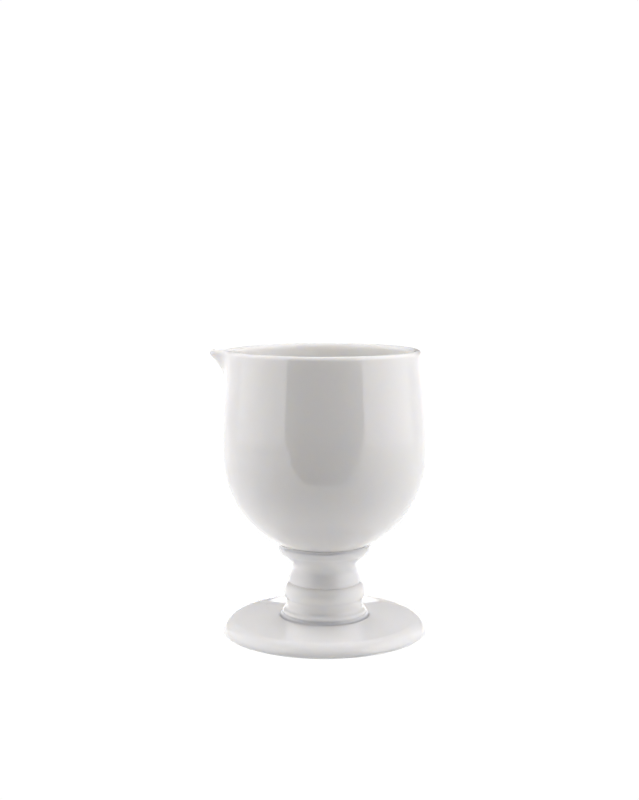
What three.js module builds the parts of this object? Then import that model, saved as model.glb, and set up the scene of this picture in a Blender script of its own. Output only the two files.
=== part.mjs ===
// A stemmed cream jug in glazed porcelain: a round cup with a small pulled pouring lip, on a short
// turned stem and a flat round foot. Each casting is its own solid, and so is each ring of slip
// that joins two castings. Millimetres, +Z up. The origin is on the turned axis at the standing
// plane, and the pouring lip points along -X.
import * as THREE from "three";

// Foot
const FOOT_RADIUS = 38.5;
const FOOT_EDGE_HEIGHT = 1.15; // height of the widest point
const FOOT_ROUND_REACH = 5.2; // the rounded edge, measured along the radius
const FOOT_ROUND_RISE = 3.9; // the rounded edge, measured upwards
const FOOT_CONE_RISE = 1.25; // how much the top climbs from the rounded edge to the stem
const FOOT_TUCK = 2.5; // how far the edge curves in underneath, down to the standing ring
const STANDING_RING_WIDTH = 3;
const UNDERSIDE_RECESS = 1.8;
const RECESS_FLARE = 0.8; // slope of the recess's side wall
const VENT_RADIUS = 4; // hole that lets air out of the hollow stem

// Stem
const STEM_HEIGHT = 26.7; // from its underside to the collar's top edge
const STEM_WALL = 3.2;
const BEAD_RADIUS = 15.9; // the bead that stands on the foot
const BEAD_HEIGHT = 2.4;
const BEAD_BULGE = 1.6;
const BASE_WIDTH = 3.15; // the flat ring under the bead
const GROOVE_RADIUS = 14.35;
const GROOVE_HEIGHT = 3;
const RING_RADIUS = 15.35; // the wide turned ring
const RING_HEIGHT = 7.2;
const RING_BULGE = 2.15;
const SHOULDER_RADIUS = 13.45; // the narrower drum above the ring
const NECK_RADIUS = 12.2;
const NECK_DROP = 8.8; // from the collar's top edge down to the narrowest place
const COLLAR_RADIUS = 17.4;
const COLLAR_HEIGHT = 3.2;
const SEAT_WIDTH = 5.4; // the collar's ring under the cup

// Joints of fired slip
const SLIP_THICKNESS = 0.5;
const SLIP_SETBACK = 0.35; // the slip stops short of the visible edges
const SLIP_CLEARANCE = 0.1; // between slip and clay

// Cup
const BOWL_RADIUS = 38.4;
const BOWL_DEPTH = 39.1; // from the widest place down to the round bottom
const BOWL_WALL_HEIGHT = 35.95; // from the widest place up to the lip's round
const BOWL_MOUTH_RADIUS = 35.8;
const BOWL_WALL = 3;
const LIP_HEIGHT = 1.65; // the rounded lip above the wall
const MOUTH_SLOPE = 0.116; // how the wall leans inwards at the mouth, radius over height

// Pouring lip
const SPOUT_REACH = 6.9; // how far it is pulled outwards
const SPOUT_DEPTH = 13; // how far down the wall the pull is felt
const SPOUT_FLARE = 2.4; // exponent of the pull's growth towards the top
const SPOUT_HALF_ANGLE = THREE.MathUtils.degToRad(5.2); // where the pull has halved
const SPOUT_END_ANGLE = THREE.MathUtils.degToRad(40); // where the pull has faded out

// Facets
const BOWL_SIDES = 60;
const BOWL_CROWDING = 0.6; // how strongly the cup's sides crowd towards the pouring lip
const FOOT_SIDES = 56;
const STEM_SIDES = 40;
const CURVE_STEPS = 6;

// Heights that follow from the sizes above
const footRoundTop = FOOT_EDGE_HEIGHT + FOOT_ROUND_RISE;
const footTop = footRoundTop + FOOT_CONE_RISE;
const slipSpace = SLIP_THICKNESS + 2 * SLIP_CLEARANCE;
const stemBottom = footTop + SLIP_CLEARANCE;
const landHeight = stemBottom - slipSpace;
const baseRadius = BEAD_RADIUS - BEAD_BULGE;
const baseBore = baseRadius - BASE_WIDTH;
const landRadius = baseRadius - SLIP_SETBACK;
const collarTop = stemBottom + STEM_HEIGHT;
const seatInnerRadius = COLLAR_RADIUS - SEAT_WIDTH;
const bellyHeight = collarTop + slipSpace + BOWL_DEPTH * Math.sqrt(1 - (COLLAR_RADIUS / BOWL_RADIUS) ** 2);
const mouthHeight = bellyHeight + BOWL_WALL_HEIGHT;

const glazedPorcelain = { color: 0xeceae7, roughness: 0.12, metalness: 0 };
const bareSlip = { color: 0xe4dfd6, roughness: 0.7, metalness: 0 };

function point(radius, height) {
  return new THREE.Vector2(radius, height);
}

// Points on an elliptical arc about (radius, height), with both angles in degrees.
function arc(radius, height, reach, rise, startAngle, endAngle, steps = CURVE_STEPS) {
  const start = THREE.MathUtils.degToRad(startAngle);
  const end = THREE.MathUtils.degToRad(endAngle);
  const curve = new THREE.EllipseCurve(radius, height, reach, rise, start, end, end < start);
  return curve.getPoints(steps);
}

// Points on a smooth sweep between two ends that are steered by two handles.
function sweep(start, startHandle, endHandle, end, steps = CURVE_STEPS) {
  return new THREE.CubicBezierCurve(start, startHandle, endHandle, end).getPoints(steps);
}

// The outline moved sideways by a distance, to the left of its direction of travel.
function parallel(outline, distance) {
  return outline.map((here, i) => {
    const before = outline[Math.max(i - 1, 0)];
    const after = outline[Math.min(i + 1, outline.length - 1)];
    const travel = after.clone().sub(before).normalize();
    const radius = here.x - travel.y * distance;
    return point(Math.abs(radius) < distance / 100 ? 0 : radius, here.y + travel.x * distance);
  });
}

// Each outline drops the points that repeat the one before.
function joined(...outlines) {
  const all = outlines.flat();
  return all.filter((p, i) => i === 0 || p.distanceTo(all[i - 1]) > SLIP_CLEARANCE / 2);
}

// A solid turned about +Z. A section that leaves the axis open is closed on itself.
function turned(section, sides) {
  const open = section[0].x > 0;
  const geometry = new THREE.LatheGeometry(open ? [...section, section[0]] : section, sides);
  return geometry.rotateX(Math.PI / 2);
}

function piece(name, geometry, finish) {
  const mesh = new THREE.Mesh(geometry, new THREE.MeshStandardMaterial(finish));
  mesh.name = name;
  return mesh;
}

// The round underside of the cup, from the axis out to a radius, lowered by a distance.
function cupUnderside(innerRadius, outerRadius, drop) {
  const reach = BOWL_RADIUS + drop;
  const rise = BOWL_DEPTH + drop;
  const angle = (radius) => -THREE.MathUtils.radToDeg(Math.acos(radius / reach));
  return arc(0, bellyHeight, reach, rise, angle(innerRadius), angle(outerRadius), CURVE_STEPS / 2);
}

function cupOutside() {
  const lower = arc(0, bellyHeight, BOWL_RADIUS, BOWL_DEPTH, -90, 0, CURVE_STEPS * 2);
  const upper = sweep(
    point(BOWL_RADIUS, bellyHeight),
    point(BOWL_RADIUS, bellyHeight + BOWL_WALL_HEIGHT * 0.2),
    point(BOWL_MOUTH_RADIUS + MOUTH_SLOPE * BOWL_WALL_HEIGHT * 0.78, bellyHeight + BOWL_WALL_HEIGHT * 0.22),
    point(BOWL_MOUTH_RADIUS, mouthHeight),
    CURVE_STEPS * 2,
  );
  return joined(lower, upper);
}

// How far the pouring lip pulls the wall outwards at an angle from -X and a height.
function spoutPull(angle, height) {
  const fade = (turn) => 1 / (1 + (turn / SPOUT_HALF_ANGLE) ** 2);
  const rest = fade(SPOUT_END_ANGLE);
  const across = Math.max(0, (fade(angle) - rest) / (1 - rest));
  const below = Math.max(0, mouthHeight - height);
  const upwards = Math.max(0, 1 - below / SPOUT_DEPTH) ** SPOUT_FLARE;
  return SPOUT_REACH * across * upwards;
}

// Crowds the sides of a turned cup towards -X, then pulls the pouring lip out.
function pullSpout(geometry) {
  const position = geometry.getAttribute("position");
  for (let i = 0; i < position.count; i += 1) {
    const radius = Math.hypot(position.getX(i), position.getY(i));
    const side = Math.atan2(position.getY(i), -position.getX(i));
    const angle = side - BOWL_CROWDING * Math.sin(side);
    const pulled = radius + (radius > 0 ? spoutPull(angle, position.getZ(i)) : 0);
    position.setXY(i, -pulled * Math.cos(angle), pulled * Math.sin(angle));
  }
  return geometry;
}

function bowl() {
  const outside = cupOutside();
  const inside = parallel(outside, BOWL_WALL).reverse();
  const lip = arc(
    BOWL_MOUTH_RADIUS - BOWL_WALL / 2,
    mouthHeight,
    BOWL_WALL / 2,
    LIP_HEIGHT,
    0,
    180,
    CURVE_STEPS,
  );
  return piece("bowl", pullSpout(turned(joined(outside, lip, inside), BOWL_SIDES)), glazedPorcelain);
}

function stemOutside() {
  const grooveBottom = stemBottom + BEAD_HEIGHT;
  const ringBottom = grooveBottom + GROOVE_HEIGHT;
  const shoulderBottom = ringBottom + RING_HEIGHT;
  const neck = collarTop - NECK_DROP;
  const collarBottom = collarTop - COLLAR_HEIGHT;
  const ringCentre = (ringBottom + shoulderBottom) / 2;
  const beadCentre = stemBottom + BEAD_HEIGHT / 2;
  const neckPull = (neck - shoulderBottom) / 2;
  return joined(
    arc(baseRadius, beadCentre, BEAD_BULGE, BEAD_HEIGHT / 2, -90, 85),
    [point(GROOVE_RADIUS, grooveBottom + GROOVE_HEIGHT * 0.2), point(GROOVE_RADIUS, ringBottom)],
    arc(RING_RADIUS - RING_BULGE, ringCentre, RING_BULGE, RING_HEIGHT / 2, -50, 75),
    sweep(
      point(SHOULDER_RADIUS, shoulderBottom),
      point(SHOULDER_RADIUS, shoulderBottom + neckPull),
      point(NECK_RADIUS, neck - neckPull / 2),
      point(NECK_RADIUS, neck),
    ),
    sweep(
      point(NECK_RADIUS, neck),
      point(NECK_RADIUS, neck + (collarBottom - neck) * 0.4),
      point(COLLAR_RADIUS - COLLAR_HEIGHT * 0.9, collarBottom - COLLAR_HEIGHT / 2),
      point(COLLAR_RADIUS - COLLAR_HEIGHT * 0.3, collarBottom),
    ),
    sweep(
      point(COLLAR_RADIUS - COLLAR_HEIGHT * 0.3, collarBottom),
      point(COLLAR_RADIUS - COLLAR_HEIGHT * 0.1, collarBottom + COLLAR_HEIGHT * 0.25),
      point(COLLAR_RADIUS, collarBottom + COLLAR_HEIGHT * 0.5),
      point(COLLAR_RADIUS, collarTop - SLIP_SETBACK),
      CURVE_STEPS / 2,
    ),
  );
}

// The hollow, from the seat down to the stem's underside.
function stemHollow() {
  const neck = collarTop - NECK_DROP;
  const ringHeight = stemBottom + BEAD_HEIGHT + GROOVE_HEIGHT + RING_HEIGHT / 2;
  const neckBore = NECK_RADIUS - STEM_WALL;
  const ringBore = GROOVE_RADIUS - STEM_WALL;
  const seat = cupUnderside(seatInnerRadius, COLLAR_RADIUS - SLIP_SETBACK, slipSpace).reverse();
  const seatEdge = seat[seat.length - 1];
  return joined(
    seat,
    sweep(seatEdge, point(seatEdge.x, (seatEdge.y + neck) / 2), point(neckBore, seatEdge.y), point(neckBore, neck)),
    sweep(point(neckBore, neck), point(neckBore, ringHeight), point(ringBore, neck), point(ringBore, ringHeight)),
    sweep(
      point(ringBore, ringHeight),
      point(ringBore, (ringHeight + stemBottom) / 2),
      point(baseBore, (ringHeight + stemBottom) / 2),
      point(baseBore, stemBottom),
      CURVE_STEPS / 2,
    ),
  );
}

function stem() {
  return piece("stem", turned(joined(stemOutside(), stemHollow()), STEM_SIDES), glazedPorcelain);
}

function foot() {
  const roundStart = FOOT_RADIUS - FOOT_ROUND_REACH;
  const ringRadius = FOOT_RADIUS - FOOT_TUCK;
  const recessRadius = ringRadius - STANDING_RING_WIDTH;
  const section = joined(
    [point(VENT_RADIUS, UNDERSIDE_RECESS), point(recessRadius - RECESS_FLARE, UNDERSIDE_RECESS)],
    [point(recessRadius, 0)],
    arc(ringRadius, FOOT_EDGE_HEIGHT, FOOT_TUCK, FOOT_EDGE_HEIGHT, -90, 0, CURVE_STEPS / 2),
    arc(roundStart, FOOT_EDGE_HEIGHT, FOOT_ROUND_REACH, FOOT_ROUND_RISE, 0, 90),
    [point(landRadius, footTop), point(landRadius, landHeight), point(VENT_RADIUS, landHeight)],
  );
  return piece("foot", turned(section, FOOT_SIDES), glazedPorcelain);
}

// The curved ring of slip between the collar's seat and the cup.
function bowlSlip() {
  const inner = seatInnerRadius + SLIP_SETBACK;
  const outer = COLLAR_RADIUS - 2 * SLIP_SETBACK;
  const under = cupUnderside(inner, outer, SLIP_CLEARANCE + SLIP_THICKNESS);
  const over = cupUnderside(inner, outer, SLIP_CLEARANCE).reverse();
  return piece("bowl_slip", turned(joined(under, over), STEM_SIDES), bareSlip);
}

// The flat ring of slip between the stem and the foot's land.
function footSlip() {
  const inner = baseBore + SLIP_SETBACK;
  const outer = landRadius - SLIP_SETBACK;
  const low = landHeight + SLIP_CLEARANCE;
  const high = low + SLIP_THICKNESS;
  const section = [point(inner, low), point(outer, low), point(outer, high), point(inner, high)];
  return piece("foot_slip", turned(section, STEM_SIDES), bareSlip);
}

const group = new THREE.Group();
group.add(bowl(), bowlSlip(), stem(), footSlip(), foot());
export default group;
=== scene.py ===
import math

import bpy
from bpy.props import FloatProperty, FloatVectorProperty, PointerProperty
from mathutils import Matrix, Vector


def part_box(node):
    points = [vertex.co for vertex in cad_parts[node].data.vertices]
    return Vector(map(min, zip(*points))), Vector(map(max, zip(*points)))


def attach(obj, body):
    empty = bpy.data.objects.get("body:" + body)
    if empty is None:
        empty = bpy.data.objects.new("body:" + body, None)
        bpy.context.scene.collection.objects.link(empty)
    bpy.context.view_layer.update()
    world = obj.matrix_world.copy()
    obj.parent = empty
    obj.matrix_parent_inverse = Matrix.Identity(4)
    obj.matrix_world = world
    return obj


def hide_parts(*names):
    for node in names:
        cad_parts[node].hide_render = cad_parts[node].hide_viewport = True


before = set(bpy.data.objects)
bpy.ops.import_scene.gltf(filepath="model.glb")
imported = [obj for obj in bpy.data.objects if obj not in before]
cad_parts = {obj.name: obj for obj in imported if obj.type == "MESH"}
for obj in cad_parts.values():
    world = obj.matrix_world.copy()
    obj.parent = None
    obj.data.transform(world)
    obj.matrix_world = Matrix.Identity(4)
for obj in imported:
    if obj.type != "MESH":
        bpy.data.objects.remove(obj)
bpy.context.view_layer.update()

bl_info = {
    "name": "Stemmed Cream Jug",
    "version": (1, 0, 0),
    "blender": (4, 5, 0),
    "location": "3D View > Sidebar > Cream Jug",
    "description": "Models a glazed porcelain cream jug on a turned stem and a round foot",
    "category": "Mesh",
}

MM = 0.001
SAME_PLACE = 0.01 * MM
SEED_SIZE = 0.4 * MM
COLLAR_RISE = 0.26 * MM  # the collar's top over the CAD stem's, up to the cup

cup_low, cup_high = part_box("bowl")
stem_low, stem_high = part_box("stem")
foot_low, foot_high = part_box("foot")


# ---------------------------------------------------------------- sizes and looks


class FootSizes(bpy.types.PropertyGroup):
    radius: FloatProperty(
        name="Radius", description="Outer radius of the foot", default=foot_high.x, unit="LENGTH"
    )
    edge_height: FloatProperty(
        name="Edge height", description="Height of the widest place", default=1.15 * MM, unit="LENGTH"
    )
    round_reach: FloatProperty(
        name="Round reach", description="Rounded edge along the radius", default=5.2 * MM, unit="LENGTH"
    )
    round_rise: FloatProperty(
        name="Round rise", description="Rounded edge upwards", default=3.9 * MM, unit="LENGTH"
    )
    tuck: FloatProperty(
        name="Tuck", description="How far the edge curves in underneath", default=2.5 * MM, unit="LENGTH"
    )
    ring_width: FloatProperty(
        name="Ring width", description="Width of the bare standing ring", default=3 * MM, unit="LENGTH"
    )
    recess: FloatProperty(
        name="Recess", description="Depth of the hollow underside", default=1.8 * MM, unit="LENGTH"
    )
    vent_radius: FloatProperty(
        name="Vent radius", description="Radius of the air hole", default=4 * MM, unit="LENGTH"
    )


class StemSizes(bpy.types.PropertyGroup):
    bead_radius: FloatProperty(
        name="Bead radius", description="Bead that stands on the foot", default=15.9 * MM, unit="LENGTH"
    )
    bead_height: FloatProperty(
        name="Bead height", description="Height of the bead", default=2.4 * MM, unit="LENGTH"
    )
    groove_radius: FloatProperty(
        name="Groove radius", description="Groove over the bead", default=14.1 * MM, unit="LENGTH"
    )
    groove_height: FloatProperty(
        name="Groove height", description="Height of the groove", default=3 * MM, unit="LENGTH"
    )
    ring_radius: FloatProperty(
        name="Ring radius", description="Wide turned ring", default=15.35 * MM, unit="LENGTH"
    )
    ring_height: FloatProperty(
        name="Ring height", description="Height of the turned ring", default=7.2 * MM, unit="LENGTH"
    )
    shoulder_radius: FloatProperty(
        name="Shoulder radius", description="Drum above the ring", default=13.8 * MM, unit="LENGTH"
    )
    neck_radius: FloatProperty(
        name="Neck radius", description="Narrowest place", default=12.2 * MM, unit="LENGTH"
    )
    neck_drop: FloatProperty(
        name="Neck drop", description="From the collar's top to the neck", default=8.8 * MM, unit="LENGTH"
    )
    collar_height: FloatProperty(
        name="Collar height", description="Height of the collar", default=3.2 * MM, unit="LENGTH"
    )
    wall: FloatProperty(
        name="Wall", description="Wall of the hollow stem", default=3.2 * MM, unit="LENGTH"
    )


class CupSizes(bpy.types.PropertyGroup):
    radius: FloatProperty(
        name="Radius", description="Radius at the widest place", default=cup_high.y, unit="LENGTH"
    )
    depth: FloatProperty(
        name="Depth", description="Widest place down to the bottom", default=39.1 * MM, unit="LENGTH"
    )
    mouth_radius: FloatProperty(
        name="Mouth radius", description="Outer radius under the lip", default=35.8 * MM, unit="LENGTH"
    )
    mouth_slope: FloatProperty(
        name="Mouth slope", description="Inward lean of the wall at the mouth", default=0.116
    )
    wall: FloatProperty(
        name="Wall", description="Wall thickness", default=3 * MM, unit="LENGTH"
    )
    lip_height: FloatProperty(
        name="Lip height", description="Height of the rounded lip", default=1.65 * MM, unit="LENGTH"
    )
    spout_reach: FloatProperty(
        name="Spout reach", description="How far the pouring lip is pulled", default=6.9 * MM, unit="LENGTH"
    )
    spout_depth: FloatProperty(
        name="Spout depth", description="How far down the pull is felt", default=13 * MM, unit="LENGTH"
    )
    spout_flare: FloatProperty(
        name="Spout flare", description="How fast the pull grows towards the top", default=2.4
    )
    spout_half_angle: FloatProperty(
        name="Spout half angle",
        description="Where the pull has halved",
        default=math.radians(5.2),
        subtype="ANGLE",
    )
    spout_end_angle: FloatProperty(
        name="Spout end angle",
        description="Where the pull has faded out",
        default=math.radians(40),
        subtype="ANGLE",
    )


class GlazeLook(bpy.types.PropertyGroup):
    colour: FloatVectorProperty(
        name="Colour", description="White of the body under the glaze", size=3, subtype="COLOR",
        default=(0.93, 0.922, 0.908), min=0, max=1,
    )
    # Painted shade: the darker white that the creases are painted with.
    shaded_white: FloatVectorProperty(
        name="Crease shade white", description="Where the glaze lies thick", size=3, subtype="COLOR",
        default=(0.89, 0.88, 0.865), min=0, max=1,
    )
    roughness: FloatProperty(
        name="Roughness", description="Smallest roughness of the glaze", default=0.016, min=0, max=1
    )
    ripple: FloatProperty(
        name="Ripple", description="Depth of the slow waves in the glaze", default=0.03 * MM, unit="LENGTH"
    )
    peel: FloatProperty(
        name="Peel", description="Depth of the fine orange peel", default=0.0015 * MM, unit="LENGTH"
    )
    depth: FloatProperty(
        name="Depth", description="How far light strays inside the porcelain", default=1.5 * MM, unit="LENGTH"
    )
    bare_colour: FloatVectorProperty(
        name="Bare colour", description="Fired body without glaze", size=3, subtype="COLOR",
        default=(0.74, 0.7, 0.64), min=0, max=1,
    )


class StudioLook(bpy.types.PropertyGroup):
    camera_distance: FloatProperty(
        name="Camera distance", description="Along -Y from the jug's axis", default=0.4802, unit="LENGTH"
    )
    camera_height: FloatProperty(
        name="Camera height", description="Above the table", default=0.1415, unit="LENGTH"
    )
    camera_pitch: FloatProperty(
        name="Camera pitch", description="Downward tilt", default=math.radians(6.4235), subtype="ANGLE"
    )
    camera_side: FloatProperty(
        name="Camera side", description="Along X from the jug's axis", default=-0.0019, unit="LENGTH"
    )
    focal_length: FloatProperty(
        name="Focal length", description="Lens focal length in millimetres", default=58.49
    )
    brightness: FloatProperty(
        name="Brightness", description="Factor on all lamps", default=1.0, min=0
    )


SETTINGS = {
    "jug_foot": FootSizes,
    "jug_stem": StemSizes,
    "jug_cup": CupSizes,
    "jug_glaze": GlazeLook,
    "jug_studio": StudioLook,
}


# ---------------------------------------------------------------- outlines


def point(radius, height):
    return Vector((radius, height))


def arc(centre, reach, rise, start, end, steps):
    """Points on an elliptical arc, with its angles in degrees."""
    turns = [math.radians(start + (end - start) * i / steps) for i in range(steps + 1)]
    return [centre + point(reach * math.cos(t), rise * math.sin(t)) for t in turns]


def sweep(start, start_handle, end_handle, end, steps):
    """Points on a smooth curve that two handles steer."""
    points = []
    for i in range(steps + 1):
        t = i / steps
        u = 1 - t
        points.append(
            start * u**3 + start_handle * 3 * t * u**2 + end_handle * 3 * t**2 * u + end * t**3
        )
    return points


def inset(outline, distance):
    """The outline moved to the left of its direction of travel."""
    moved = []
    last = len(outline) - 1
    for i, here in enumerate(outline):
        travel = (outline[min(i + 1, last)] - outline[max(i - 1, 0)]).normalized()
        moved.append(here + point(-travel.y, travel.x) * distance)
    return moved


# ---------------------------------------------------------------- modelling steps


def draw_path(name, places):
    """Starts a piece as one vertex and extrudes it from place to place."""
    bpy.ops.object.select_all(action="DESELECT")
    bpy.ops.mesh.primitive_plane_add(size=SEED_SIZE, location=places[0])
    piece = bpy.context.object
    piece.name = name
    piece.data.name = name
    bpy.ops.object.mode_set(mode="EDIT")
    bpy.ops.mesh.select_all(action="SELECT")
    bpy.ops.mesh.merge(type="CENTER")
    for here, there in zip(places, places[1:]):
        if (there - here).length > SAME_PLACE:
            bpy.ops.mesh.extrude_vertices_move(TRANSFORM_OT_translate={"value": there - here})
    return piece


def draw_outline(name, outline):
    """Starts a turned piece: its outline of (radius, height) stands in the plane Y = 0."""
    return draw_path(name, [Vector((spot.x, 0, spot.y)) for spot in outline])


def spin_outline(turns):
    """Spins the outline about the jug's axis, one stretch of (degrees, steps) after another."""
    bpy.ops.mesh.select_all(action="SELECT")
    bpy.ops.mesh.remove_doubles(threshold=SAME_PLACE)
    for degrees, steps in turns:
        bpy.ops.mesh.spin(steps=steps, angle=math.radians(degrees), center=(0, 0, 0), axis=(0, 0, 1))
    bpy.ops.mesh.select_all(action="SELECT")
    bpy.ops.mesh.remove_doubles(threshold=SAME_PLACE)
    bpy.ops.mesh.normals_make_consistent(inside=False)
    bpy.ops.object.mode_set(mode="OBJECT")


def smooth_surface(piece):
    """Rounds the facets off and puts the object's own place into its mesh."""
    bpy.ops.object.transform_apply(location=True, rotation=True, scale=True)
    bpy.ops.object.modifier_add(type="SUBSURF")
    modifier = piece.modifiers[-1]
    modifier.levels = 1
    modifier.render_levels = 1
    bpy.ops.object.modifier_apply(modifier=modifier.name)
    bpy.ops.object.shade_smooth()


def paint_crease_shade(piece, dark_creases):
    """Stores painted shade in the creases: each crease is a (height, spread), darkest at its height and
    fading with the spread.
    """
    attribute = piece.data.attributes.new("crease_darkening", "FLOAT", "POINT")
    for i, vertex in enumerate(piece.data.vertices):
        depth = sum(math.exp(-(((vertex.co.z - height) / spread) ** 2)) for height, spread in dark_creases)
        attribute.data[i].value = min(depth, 1)


def hand_in(piece, node):
    """Puts a finished piece in the place of its node."""
    if abs(piece.location.length) > 0 or not piece.data.polygons:
        raise RuntimeError(f"{piece.name} isn't finished")
    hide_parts(node)
    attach(piece, "root")


# ---------------------------------------------------------------- finishes

# The slots' own names are taken: these finishes are named apart from them.
GLAZE = "clear_glaze"
BARE = "bare_body"
# Colour sockets of a Mix node, where every data type has an A, a B and a Result.
MIX_A, MIX_B, MIX_RESULT = 6, 7, 2


class NodeBoard:
    """Adds shader nodes to a material and links them."""

    def __init__(self, name):
        self.material = bpy.data.materials.new(name)
        self.material.use_nodes = True
        self.tree = self.material.node_tree
        self.shader = self.tree.nodes["Principled BSDF"]
        self.place = self.add("ShaderNodeTexCoord").outputs["Object"]

    def add(self, kind, **settings):
        node = self.tree.nodes.new(kind)
        for key, value in settings.items():
            setattr(node, key, value)
        return node

    def link(self, source, target):
        self.tree.links.new(source, target)

    def noise(self, scale, detail):
        node = self.add("ShaderNodeTexNoise")
        node.inputs["Scale"].default_value = scale
        node.inputs["Detail"].default_value = detail
        self.link(self.place, node.inputs["Vector"])
        return node.outputs["Fac"]

    def spread(self, value, low, high, from_low=0.3, from_high=0.7):
        node = self.add("ShaderNodeMapRange")
        node.inputs["From Min"].default_value = from_low
        node.inputs["From Max"].default_value = from_high
        node.inputs["To Min"].default_value = low
        node.inputs["To Max"].default_value = high
        self.link(value, node.inputs["Value"])
        return node.outputs["Result"]

    def blend(self, share, first, second):
        node = self.add("ShaderNodeMix", data_type="RGBA")
        self.link(share, node.inputs["Factor"])
        for socket, colour in ((node.inputs[MIX_A], first), (node.inputs[MIX_B], second)):
            if isinstance(colour, bpy.types.NodeSocket):
                self.link(colour, socket)
            else:
                socket.default_value = (*colour, 1)
        return node.outputs[MIX_RESULT]

    def bump(self, height, depth, base=None):
        node = self.add("ShaderNodeBump")
        node.inputs["Strength"].default_value = 1
        node.inputs["Distance"].default_value = depth
        self.link(height, node.inputs["Height"])
        if base is not None:
            self.link(base, node.inputs["Normal"])
        return node.outputs["Normal"]


def glazed_porcelain(look):
    """Clear gloss glaze over white porcelain: slow ripples, orange peel, specks and painted shade in the
    creases.
    """
    board = NodeBoard(GLAZE)
    # Painted shade: where the creases are marked, the white turns darker.
    darkening_share = board.add("ShaderNodeAttribute", attribute_name="crease_darkening").outputs["Fac"]
    cloud = board.spread(board.noise(38, detail=3), 0, 1)
    cooler = (0.985, 0.992, 1)
    cool = [c * k for c, k in zip(look.colour, cooler)]
    body = board.blend(cloud, tuple(look.colour), tuple(cool))
    shaded_body = board.blend(darkening_share, body, tuple(look.shaded_white))
    cells = board.add("ShaderNodeTexVoronoi", feature="F1")
    cells.inputs["Scale"].default_value = 240
    board.link(board.place, cells.inputs["Vector"])
    speck = board.spread(cells.outputs["Distance"], 0.25, 0, 0.025, 0.05)
    speck_colour = (0.7, 0.68, 0.64)
    flecked = board.blend(speck, shaded_body, speck_colour)
    board.link(flecked, board.shader.inputs["Base Color"])
    gloss = board.spread(board.noise(170, detail=2), look.roughness, look.roughness * 2.2)
    board.link(gloss, board.shader.inputs["Roughness"])
    slow = board.bump(board.noise(32, detail=1), look.ripple)
    fine = board.bump(board.noise(900, detail=1), look.peel, slow)
    board.link(fine, board.shader.inputs["Normal"])
    board.shader.inputs["IOR"].default_value = 1.5
    board.shader.inputs["Subsurface Weight"].default_value = 1
    board.shader.inputs["Subsurface Radius"].default_value = (1, 0.95, 0.85)
    board.shader.inputs["Subsurface Scale"].default_value = look.depth
    return board.material


def bare_porcelain(look):
    """Fired porcelain without glaze: matt, finely grained, a little soiled where it stands."""
    board = NodeBoard(BARE)
    soil = board.spread(board.noise(260, detail=4), 0, 1)
    soiled = tuple(c * 0.86 for c in look.bare_colour)
    colour = board.blend(soil, tuple(look.bare_colour), soiled)
    board.link(colour, board.shader.inputs["Base Color"])
    board.link(board.spread(board.noise(700, detail=3), 0.62, 0.85), board.shader.inputs["Roughness"])
    grain = board.bump(board.noise(2600, detail=3), 0.02 * MM)
    board.link(grain, board.shader.inputs["Normal"])
    return board.material


def finish_named(name):
    """A finish, made once and then shared by the pieces."""
    makers = {GLAZE: glazed_porcelain, BARE: bare_porcelain}
    return bpy.data.materials.get(name) or makers[name](bpy.context.scene.jug_glaze)


# ---------------------------------------------------------------- pieces


class JUG_OT_foot(bpy.types.Operator):
    """Model the flat round foot with its standing ring, recessed underside and air hole"""

    bl_idname = "jug.foot"
    bl_label = "Foot"

    def execute(self, context):
        size = context.scene.jug_foot
        round_start = size.radius - size.round_reach
        round_top = size.edge_height + size.round_rise
        ring_outer = size.radius - size.tuck
        ring_inner = ring_outer - size.ring_width
        land_radius = context.scene.jug_stem.bead_radius - 1.95 * MM
        land = stem_low.z - 0.7 * MM
        soft = 0.25 * MM
        outline = [
            point(size.vent_radius + soft, size.recess),
            point(round_start / 2, size.recess),
            point(ring_inner - 1.4 * MM, size.recess),
            point(ring_inner - 0.8 * MM, size.recess - soft),
            point(ring_inner - soft, soft),
            point(ring_inner, 0),
            point(ring_inner + soft, 0),
            point(ring_outer - soft, 0),
        ]
        outline += arc(point(ring_outer, size.edge_height), size.tuck, size.edge_height, -90, 0, 8)
        outline += arc(point(round_start, size.edge_height), size.round_reach, size.round_rise, 0, 90, 18)
        outline += sweep(
            point(round_start, round_top),
            point(round_start - MM, round_top),
            point(land_radius + 8 * MM, foot_high.z - 0.5 * MM),
            point(land_radius, foot_high.z),
            14,
        )
        outline += [
            point(land_radius - soft, foot_high.z - soft),
            point(land_radius - soft, land),
            point(size.vent_radius + soft, land),
            point(size.vent_radius, land - soft),
            point(size.vent_radius, size.recess + soft),
            outline[0],
        ]
        piece = draw_outline("foot_disc", outline)
        spin_outline([(360, 120)])
        smooth_surface(piece)
        # Painted shade on the foot's top, around the stem's foot.
        paint_crease_shade(piece, [(foot_high.z, 0.35 * MM)])
        piece.data.materials.append(finish_named(GLAZE))
        piece.data.materials.append(finish_named(BARE))
        bare_slot = 1
        for face in piece.data.polygons:
            if face.center.z < soft and face.normal.z < -0.7:
                face.material_index = bare_slot
        hand_in(piece, "foot")
        return {"FINISHED"}


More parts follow.
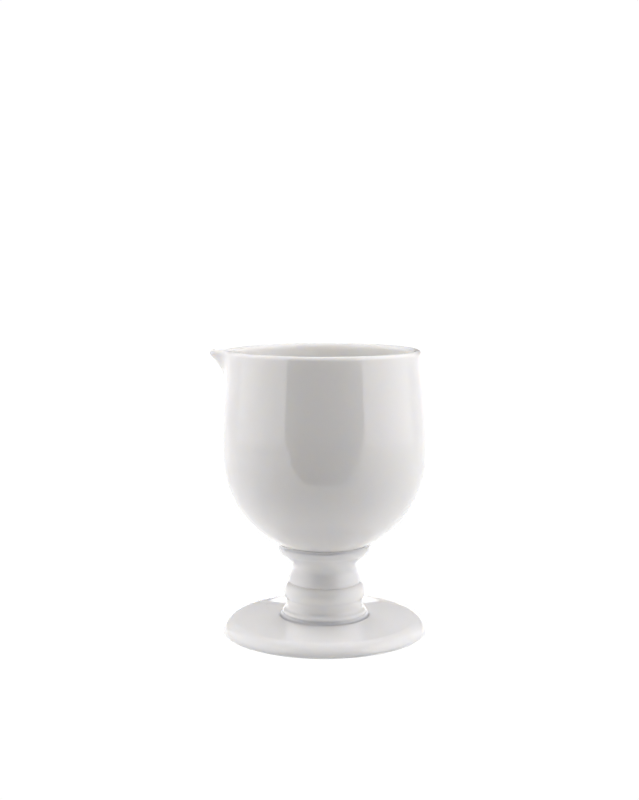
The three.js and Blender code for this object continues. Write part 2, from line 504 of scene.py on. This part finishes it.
class JUG_OT_stem(bpy.types.Operator):
    """Model the hollow turned stem: bead, groove, ring, shoulder, neck and collar"""

    bl_idname = "jug.stem"
    bl_label = "Stem"

    def execute(self, context):
        size = context.scene.jug_stem
        bottom = foot_high.z - 0.05 * MM
        collar_top = stem_high.z + COLLAR_RISE
        collar_radius = stem_high.x
        bead_bulge = 1.6 * MM
        ring_bulge = 3 * MM
        rim_round = 0.35 * MM
        groove = stem_low.z + size.bead_height
        ring = groove + size.groove_height
        shoulder = ring + size.ring_height
        neck = collar_top - size.neck_drop
        collar = collar_top - size.collar_height
        pull = (neck - shoulder) / 2
        bead_centre = point(size.bead_radius - bead_bulge, (bottom + groove) / 2)
        outline = arc(bead_centre, bead_bulge, (groove - bottom) / 2, -90, 75, 12)
        for share in (0.15, 0.5, 0.85, 1):
            outline.append(point(size.groove_radius, groove + size.groove_height * share))
        ring_centre = point(size.ring_radius - ring_bulge, (ring + shoulder) / 2)
        outline += arc(ring_centre, ring_bulge, size.ring_height / 2, -50, 75, 14)
        outline += sweep(
            point(size.shoulder_radius, shoulder),
            point(size.shoulder_radius, shoulder + pull),
            point(size.neck_radius, neck - pull / 2),
            point(size.neck_radius, neck),
            9,
        )
        outline += sweep(
            point(size.neck_radius, neck),
            point(size.neck_radius, neck + (collar - neck) * 0.4),
            point(collar_radius - size.collar_height * 0.9, collar - size.collar_height / 2),
            point(collar_radius - size.collar_height * 0.3, collar),
            10,
        )[1:]
        outline += sweep(
            point(collar_radius - size.collar_height * 0.3, collar),
            point(collar_radius - size.collar_height * 0.1, collar + size.collar_height * 0.25),
            point(collar_radius, collar + size.collar_height * 0.5),
            point(collar_radius, collar_top - rim_round),
            6,
        )[1:]
        rim_centre = point(collar_radius - rim_round, collar_top - rim_round)
        outline += arc(rim_centre, rim_round, rim_round, 0, 90, 3)
        bore = size.neck_radius - size.wall
        base_bore = size.groove_radius - size.wall + 0.25 * MM
        base_soft = 0.4 * MM
        outline += [
            point(collar_radius - 2 * MM, collar_top - 0.8 * MM),
            point(bore + 3.2 * MM, collar_top - 2 * MM),
            point(bore + 2.4 * MM, collar_top - 3 * MM),
            point(bore, neck),
            point(base_bore, (ring + shoulder) / 2),
            point(base_bore, bottom + base_soft),
            point(base_bore + base_soft, bottom),
            outline[0],
        ]
        piece = draw_outline("turned_stem", outline)
        spin_outline([(360, 96)])
        smooth_surface(piece)
        # Painted shade in the creases under the bead, in the groove, at the shoulder and at the collar's top.
        creases = [
            (bottom, 0.4 * MM),
            (groove + size.groove_height / 2, 1.3 * MM),
            (shoulder, 0.6 * MM),
            (collar_top, 0.4 * MM),
        ]
        paint_crease_shade(piece, creases)
        piece.data.materials.append(finish_named(GLAZE))
        hand_in(piece, "stem")
        return {"FINISHED"}


def cup_outline(size):
    """The cup's outside, from the bottom's middle up to where the lip's round begins."""
    belly = cup_low.z + size.depth
    mouth = cup_high.z - size.lip_height
    wall_height = mouth - belly
    lower = arc(point(0, belly), size.radius, size.depth, -90, 0, 30)
    upper = sweep(
        point(size.radius, belly),
        point(size.radius, belly + wall_height * 0.2),
        point(size.mouth_radius + size.mouth_slope * wall_height * 0.78, belly + wall_height * 0.22),
        point(size.mouth_radius, mouth),
        20,
    )
    return lower + upper[1:]


def spout_share(size, place, mouth):
    """How much of the pouring lip's pull a place feels, from 0 to 1."""
    turn = math.atan2(place.y, -place.x)
    rest = 1 / (1 + (size.spout_end_angle / size.spout_half_angle) ** 2)
    across = (1 / (1 + (turn / size.spout_half_angle) ** 2) - rest) / (1 - rest)
    upwards = 1 - max(0, mouth - place.z) / size.spout_depth
    return max(0, across) * max(0, upwards) ** size.spout_flare


class JUG_OT_cup(bpy.types.Operator):
    """Model the round cup with its rounded lip and pull the pouring lip out towards -X"""

    bl_idname = "jug.cup"
    bl_label = "Cup"

    def execute(self, context):
        size = context.scene.jug_cup
        mouth = cup_high.z - size.lip_height
        outside = cup_outline(size)
        inside = inset(outside, size.wall)[::-1]
        inside[-1].x = 0
        lip_centre = point(size.mouth_radius - size.wall / 2, mouth)
        lip = arc(lip_centre, size.wall / 2, size.lip_height, 0, 180, 12)
        piece = draw_outline("cup", outside + lip[1:-1] + inside)
        spin_outline([(150, 50), (60, 60), (150, 50)])  # finer across the pouring lip
        smooth_surface(piece)
        self.pull_spout(piece, size, mouth)
        # Painted shade in the crease above the collar, under the cup.
        paint_crease_shade(piece, [(stem_high.z + 1.1 * MM, 0.5 * MM)])
        piece.data.materials.append(finish_named(GLAZE))
        hand_in(piece, "bowl")
        return {"FINISHED"}

    def pull_spout(self, piece, size, mouth):
        group = piece.vertex_groups.new(name="pouring_lip")
        for vertex in piece.data.vertices:
            share = spout_share(size, vertex.co, mouth)
            if share > 0:
                group.add([vertex.index], share, "REPLACE")
        bpy.ops.object.modifier_add(type="DISPLACE")
        modifier = piece.modifiers[-1]
        modifier.direction = "X"
        modifier.mid_level = 0
        modifier.strength = -size.spout_reach
        modifier.vertex_group = group.name
        bpy.ops.object.modifier_apply(modifier=modifier.name)


class JUG_OT_slip(bpy.types.Operator):
    """Model the two rings of fired slip that join the cup, the stem and the foot"""

    bl_idname = "jug.slip"
    bl_label = "Slip joints"

    def execute(self, context):
        self.under_cup(context.scene.jug_cup)
        self.round_bead(context.scene.jug_stem)
        return {"FINISHED"}

    def under_cup(self, cup):
        """The ring between the collar's top and the cup's round underside."""
        belly = cup_low.z + cup.depth

        def underside(radius):
            return belly - cup.depth * math.sqrt(1 - (radius / cup.radius) ** 2)

        collar = stem_high.x
        top = stem_high.z + COLLAR_RISE
        bite = 0.03 * MM
        radii = (collar - 3 * MM, collar - 1.4 * MM, collar + 0.3 * MM)
        over = [point(radius, underside(radius) + bite) for radius in radii]
        crease = over[-1].y
        outline = [
            *over,
            point(collar + 0.06 * MM, (crease + top) / 2),
            point(collar + 0.02 * MM, top - 0.5 * MM),
            point(collar - 0.8 * MM, top - 0.6 * MM),
            point(collar - 3 * MM, top - 1.1 * MM),
            over[0],
        ]
        self.ring("cup_slip", outline, "bowl_slip", crease)

    def round_bead(self, stem):
        """The ring between the bead and the foot, with a small cove outside."""
        base = stem.bead_radius
        floor = foot_high.z
        inner = base - 2.2 * MM
        cove = base + 1.1 * MM
        outline = [
            point(inner, floor + 0.05 * MM),
            point(inner, floor - 0.4 * MM),
            point(base - 0.2 * MM, floor - 0.3 * MM),
            point(cove, floor - 0.22 * MM),
        ]
        outline += sweep(
            point(cove, floor - 0.16 * MM),
            point(base + 0.35 * MM, floor - 0.02 * MM),
            point(base + 0.02 * MM, floor + 0.3 * MM),
            point(base - 0.1 * MM, floor + 1 * MM),
            7,
        )
        outline += [point(base - 0.9 * MM, floor + 0.35 * MM), outline[0]]
        self.ring("foot_slip_ring", outline, "foot_slip", floor)

    def ring(self, name, outline, node, crease):
        piece = draw_outline(name, outline)
        spin_outline([(360, 96)])
        smooth_surface(piece)
        # Painted shade along the ring's crease.
        paint_crease_shade(piece, [(crease, MM)])
        piece.data.materials.append(finish_named(GLAZE))
        hand_in(piece, node)


# ---------------------------------------------------------------- studio


LAMP_COLOUR = (1, 0.983, 0.994)
FLOOR_DROP = 0.5 * MM
TABLETOP_DROP = 0.05 * MM
SHINE_DROP = 0.06 * MM

# Soft panels: centre, size across and up, the way each faces, watts per square metre, and whether
# it lights the matt body under the glaze or shows in the gloss on top.
PANELS = {
    "left_window": ((-0.59, -0.22, 0.42), (0.84, 0.84), (1, 0, 0), 6.5, "gloss"),
    "left_back_window": ((-0.59, 0.45, 0.42), (0.5, 0.84), (1, 0, 0), 4, "gloss"),
    "right_window": ((0.59, -0.22, 0.42), (0.84, 0.84), (-1, 0, 0), 7.5, "gloss"),
    "right_back_window": ((0.59, 0.45, 0.42), (0.5, 0.84), (-1, 0, 0), 4.1, "gloss"),
    "back_low_window": ((0, 0.69, 0.06), (1.2, 0.12), (0, -1, 0), 4.6, "gloss"),
    "back_high_window": ((0, 0.69, 0.48), (1.2, 0.72), (0, -1, 0), 0.3, "gloss"),
    "ceiling": ((0, 0.275, 0.85), (1.2, 0.85), (0, 0, -1), 1.3, "gloss"),
    "left_front_lamp": ((-0.6, -0.275, 0.125), (0.25, 0.25), (1, 0, 0), 12.6, "body"),
    "left_low_lamp": ((-0.6, 0, 0.125), (0.3, 0.25), (1, 0, 0), 9.8, "body"),
    "left_high_lamp": ((-0.6, 0, 0.545), (0.3, 0.59), (1, 0, 0), 3.6, "body"),
    "right_far_lamp": ((0.6, -0.52, 0.125), (0.24, 0.25), (-1, 0, 0), 11.1, "body"),
    "right_front_low_lamp": ((0.6, -0.275, 0.125), (0.25, 0.25), (-1, 0, 0), 14.2, "body"),
    "right_front_high_lamp": ((0.6, -0.275, 0.545), (0.25, 0.59), (-1, 0, 0), 3.1, "body"),
    "right_low_lamp": ((0.6, 0, 0.125), (0.3, 0.25), (-1, 0, 0), 2, "body"),
    "right_high_lamp": ((0.6, 0, 0.545), (0.3, 0.59), (-1, 0, 0), 6, "body"),
    "back_lamp": ((0, 0.7, 0.545), (1.2, 0.59), (0, -1, 0), 11, "body"),
    "top_front_lamp": ((0, -0.35, 0.86), (1.2, 0.3), (0, 0, -1), 4.8, "body"),
    "top_lamp": ((0, -0.05, 0.86), (1.2, 0.3), (0, 0, -1), 9.6, "body"),
    "top_back_lamp": ((0, 0.4, 0.86), (1.2, 0.6), (0, 0, -1), 1.3, "body"),
}


class JUG_OT_studio(bpy.types.Operator):
    """Set up the table, the pale backdrop, the soft lamps and the camera"""

    bl_idname = "jug.studio"
    bl_label = "Studio"

    def execute(self, context):
        look = context.scene.jug_studio
        self.world(context.scene)
        self.backdrop()
        self.table()
        for name, panel in PANELS.items():
            self.panel(name, *panel, look.brightness)
        self.camera(context.scene, look)
        context.scene.view_settings.view_transform = "Standard"
        return {"FINISHED"}

    def world(self, scene):
        scene.world = bpy.data.worlds.new("studio_air")
        scene.world.use_nodes = True
        scene.world.node_tree.nodes["Background"].inputs["Strength"].default_value = 0

    def seen_by(self, item, camera=False, body=False, gloss=False, shadow=False):
        item.visible_camera = camera
        item.visible_diffuse = body
        item.visible_glossy = gloss
        item.visible_transmission = gloss
        item.visible_shadow = shadow

    def backdrop(self):
        """A pale floor and a pale round wall, both of which only the camera sees."""
        white = self.glow("pale_backdrop", 1.02)
        bpy.ops.object.select_all(action="DESELECT")
        bpy.ops.mesh.primitive_plane_add(size=6, location=(0, 0, -FLOOR_DROP))
        floor = bpy.context.object
        floor.name = "pale_floor"
        bpy.ops.mesh.primitive_uv_sphere_add(segments=48, ring_count=24, radius=3, location=(0, 0, 0))
        wall = bpy.context.object
        wall.name = "pale_wall"
        for item in (floor, wall):
            item.data.materials.append(white)
            self.seen_by(item, camera=True)

    def table(self):
        """The tabletop, open towards the camera: one matt sheet for the body's light, and one glowing sheet
        that the gloss shows in place of the lit table, a painted reflection.
        """
        side, notch, front, back = 0.6, 0.05, 0.147, 0.7
        outline = [(-notch, -front), (notch, -front)]
        outline += [(side, -back), (side, back), (-side, back), (-side, -back)]
        top = self.sheet("tabletop", outline, -TABLETOP_DROP, self.matt("tabletop", 0.5))
        self.seen_by(top, body=True, shadow=True)
        # Painted reflection: a glowing sheet that only the gloss sees.
        shine = self.sheet("tabletop_shine", outline, -SHINE_DROP, self.table_shine())
        self.seen_by(shine, gloss=True)

    def sheet(self, name, outline, height, material):
        corners = [Vector((x, y, height)) for x, y in outline]
        piece = draw_path(name, [*corners, corners[0]])
        bpy.ops.mesh.select_all(action="SELECT")
        bpy.ops.mesh.remove_doubles(threshold=SAME_PLACE)
        bpy.ops.mesh.edge_face_add()
        bpy.ops.object.mode_set(mode="OBJECT")
        bpy.ops.object.transform_apply(location=True, rotation=True, scale=True)
        piece.data.materials.append(material)
        return piece

    def glow(self, name, strength):
        material = bpy.data.materials.new(name)
        material.use_nodes = True
        shader = material.node_tree.nodes["Principled BSDF"]
        shader.inputs["Base Color"].default_value = (0, 0, 0, 1)
        shader.inputs["Specular IOR Level"].default_value = 0
        shader.inputs["Emission Color"].default_value = (1, 1, 1, 1)
        shader.inputs["Emission Strength"].default_value = strength
        return material

    def table_shine(self):
        """A glowing sheet that the gloss shows in place of the lit table, a painted reflection, a little
        dimmer beside the jug than farther out: painted shade.
        """
        material = self.glow("tabletop_shine", 1)
        tree = material.node_tree
        place = tree.nodes.new("ShaderNodeTexCoord")
        distance = tree.nodes.new("ShaderNodeVectorMath")
        distance.operation = "LENGTH"
        tree.links.new(place.outputs["Object"], distance.inputs[0])
        # Painted shade: the glow is dimmer near the jug.
        ramp = tree.nodes.new("ShaderNodeMapRange")
        ramp.interpolation_type = "SMOOTHSTEP"
        for socket, value in (("From Min", 0.06), ("From Max", 0.45), ("To Min", 1.4), ("To Max", 1.5)):
            ramp.inputs[socket].default_value = value
        tree.links.new(distance.outputs["Value"], ramp.inputs["Value"])
        shader = tree.nodes["Principled BSDF"]
        tree.links.new(ramp.outputs["Result"], shader.inputs["Emission Strength"])
        return material

    def matt(self, name, grey):
        material = bpy.data.materials.new(name)
        material.use_nodes = True
        shader = material.node_tree.nodes["Principled BSDF"]
        shader.inputs["Base Color"].default_value = (grey, grey, grey, 1)
        shader.inputs["Roughness"].default_value = 0.9
        return material

    def panel(self, name, place, size, facing, power, lights, brightness):
        turn = Vector(facing).to_track_quat("-Z", "Y").to_euler()
        bpy.ops.object.light_add(type="AREA", location=place, rotation=turn)
        panel = bpy.context.object
        panel.name = name
        panel.data.name = name
        panel.data.shape = "RECTANGLE"
        panel.data.size, panel.data.size_y = size
        panel.data.energy = power * size[0] * size[1] * brightness
        panel.data.color = LAMP_COLOUR
        self.seen_by(panel, body=lights == "body", gloss=lights == "gloss", shadow=True)

    def camera(self, scene, look):
        place = (look.camera_side, -look.camera_distance, look.camera_height)
        tilt = (math.pi / 2 - look.camera_pitch, 0, 0)
        bpy.ops.object.camera_add(location=place, rotation=tilt)
        camera = bpy.context.object
        camera.name = "camera"
        camera.data.sensor_width = 36
        camera.data.lens = look.focal_length
        camera.data.clip_start = 0.01
        scene.camera = camera


class JUG_PT_panel(bpy.types.Panel):
    bl_idname = "JUG_PT_panel"
    bl_label = "Cream Jug"
    bl_space_type = "VIEW_3D"
    bl_region_type = "UI"
    bl_category = "Cream Jug"

    def draw(self, context):
        for name, sizes in SETTINGS.items():
            box = self.layout.box()
            for key in sizes.__annotations__:
                box.prop(getattr(context.scene, name), key)
        for operator in OPERATORS:
            self.layout.operator(operator.bl_idname)


OPERATORS = (JUG_OT_foot, JUG_OT_stem, JUG_OT_cup, JUG_OT_slip, JUG_OT_studio)


def register():
    for sizes in SETTINGS.values():
        bpy.utils.register_class(sizes)
    for kind in (*OPERATORS, JUG_PT_panel):
        bpy.utils.register_class(kind)
    for name, sizes in SETTINGS.items():
        setattr(bpy.types.Scene, name, PointerProperty(type=sizes))


def unregister():
    for name in SETTINGS:
        delattr(bpy.types.Scene, name)
    for kind in (JUG_PT_panel, *reversed(OPERATORS), *SETTINGS.values()):
        bpy.utils.unregister_class(kind)


def main():
    register()
    bpy.ops.jug.foot()
    bpy.ops.jug.stem()
    bpy.ops.jug.cup()
    bpy.ops.jug.slip()
    bpy.ops.jug.studio()


if __name__ == "__main__":
    main()
